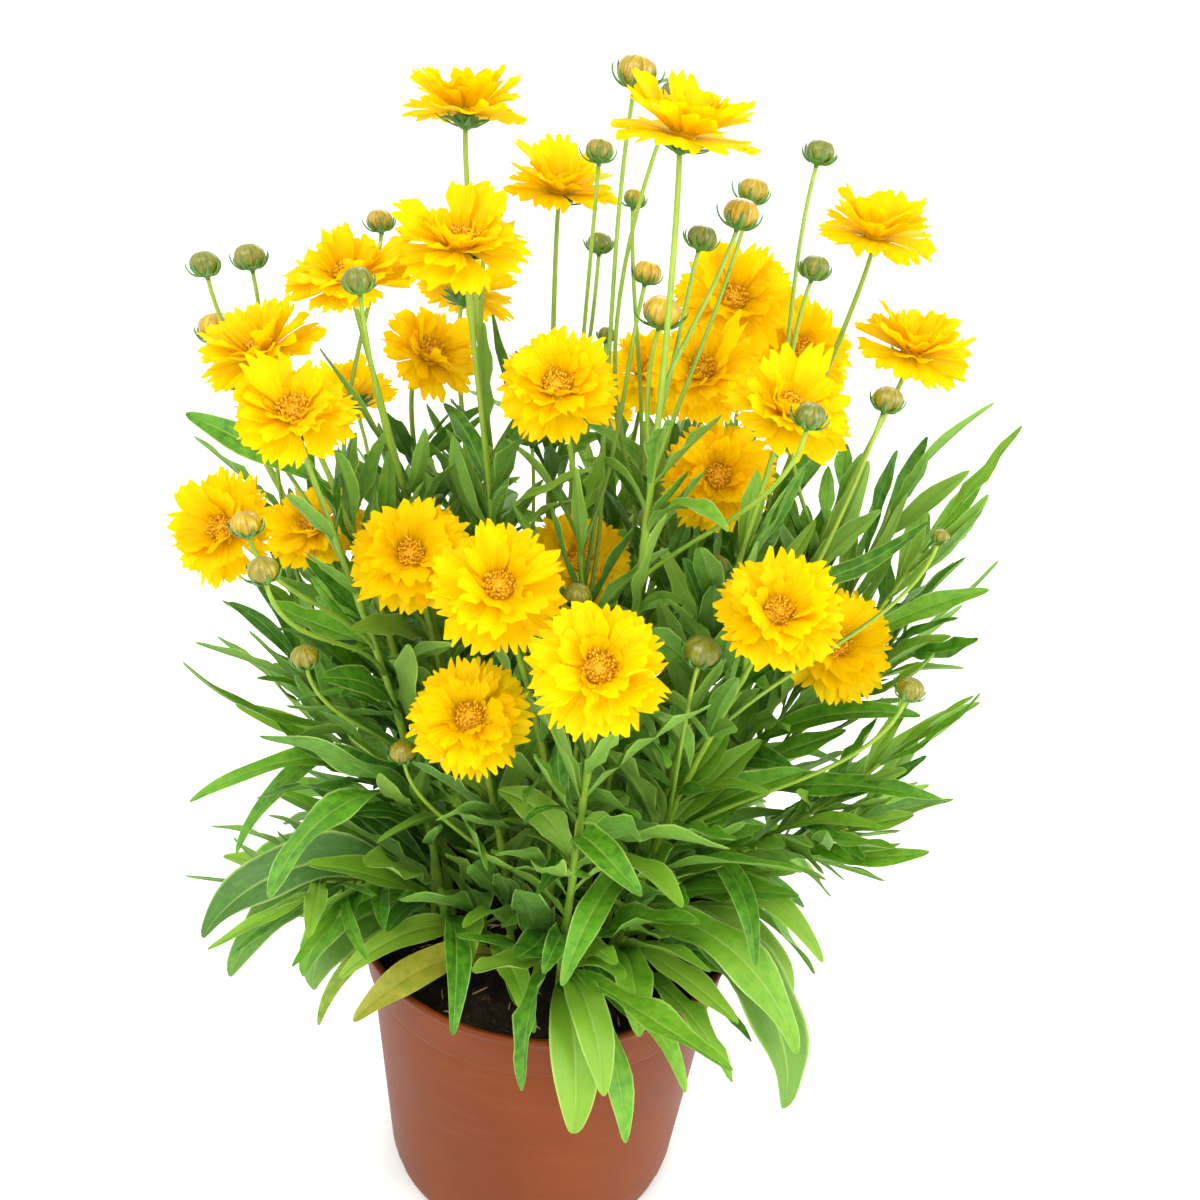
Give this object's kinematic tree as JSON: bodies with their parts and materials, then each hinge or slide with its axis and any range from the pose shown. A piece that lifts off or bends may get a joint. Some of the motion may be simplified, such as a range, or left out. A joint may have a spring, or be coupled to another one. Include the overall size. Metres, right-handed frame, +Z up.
{
  "type": "potted coreopsis",
  "caption": "Bushy garden perennial with semi-double golden-yellow daisy-like flowers and round buds on tall wiry stems above narrow leaves, in a round terracotta-coloured plastic nursery pot.",
  "frame": {"origin": "middle of the flat underside of the pot, on the surface that it stands on", "axes": "+Z up along the pot's axis, -Y towards the side that faces the viewer, +X to the viewer's right"},
  "size_m": [0.3782, 0.3593, 0.5453],
  "materials": {
    "pot": "satin",
    "soil": "matte",
    "green": "satin",
    "petal": "matte"
  },
  "bodies": {
    "root": {"pot": "pot", "soil": "soil", "leafy_stem_01": "green", "leafy_stem_02": "green", "leafy_stem_03": "green", "leafy_stem_04": "green", "leafy_stem_05": "green", "leafy_stem_06": "green", "leafy_stem_07": "green", "leafy_stem_08": "green", "leafy_stem_09": "green", "leafy_stem_10": "green", "leafy_stem_11": "green", "leafy_stem_12": "green", "leafy_stem_13": "green", "leafy_stem_14": "green", "leafy_stem_15": "green", "leafy_stem_16": "green", "leafy_stem_17": "green", "leafy_stem_18": "green", "leafy_stem_19": "green", "leafy_stem_20": "green", "leafy_stem_21": "green", "leafy_stem_22": "green", "leafy_stem_23": "green", "leafy_stem_24": "green", "leafy_stem_25": "green", "leafy_stem_26": "green", "leafy_stem_27": "green", "bloom_01": "petal", "bloom_02": "petal", "bloom_03": "petal", "bloom_04": "petal", "bloom_05": "petal", "bloom_06": "petal", "bloom_07": "petal", "bloom_08": "petal", "bloom_09": "petal", "bloom_10": "petal", "bloom_11": "petal", "bloom_12": "petal", "bloom_13": "petal", "bloom_14": "petal", "bloom_15": "petal", "bloom_16": "petal", "bloom_17": "petal", "bloom_18": "petal", "bloom_19": "petal", "bloom_20": "petal", "bloom_21": "petal", "bloom_22": "petal", "bloom_23": "petal", "bloom_24": "petal", "bloom_25": "petal", "bloom_26": "petal", "bloom_27": "petal", "bloom_28": "petal", "bloom_29": "petal", "bloom_30": "petal"}
  },
  "joints": []
}
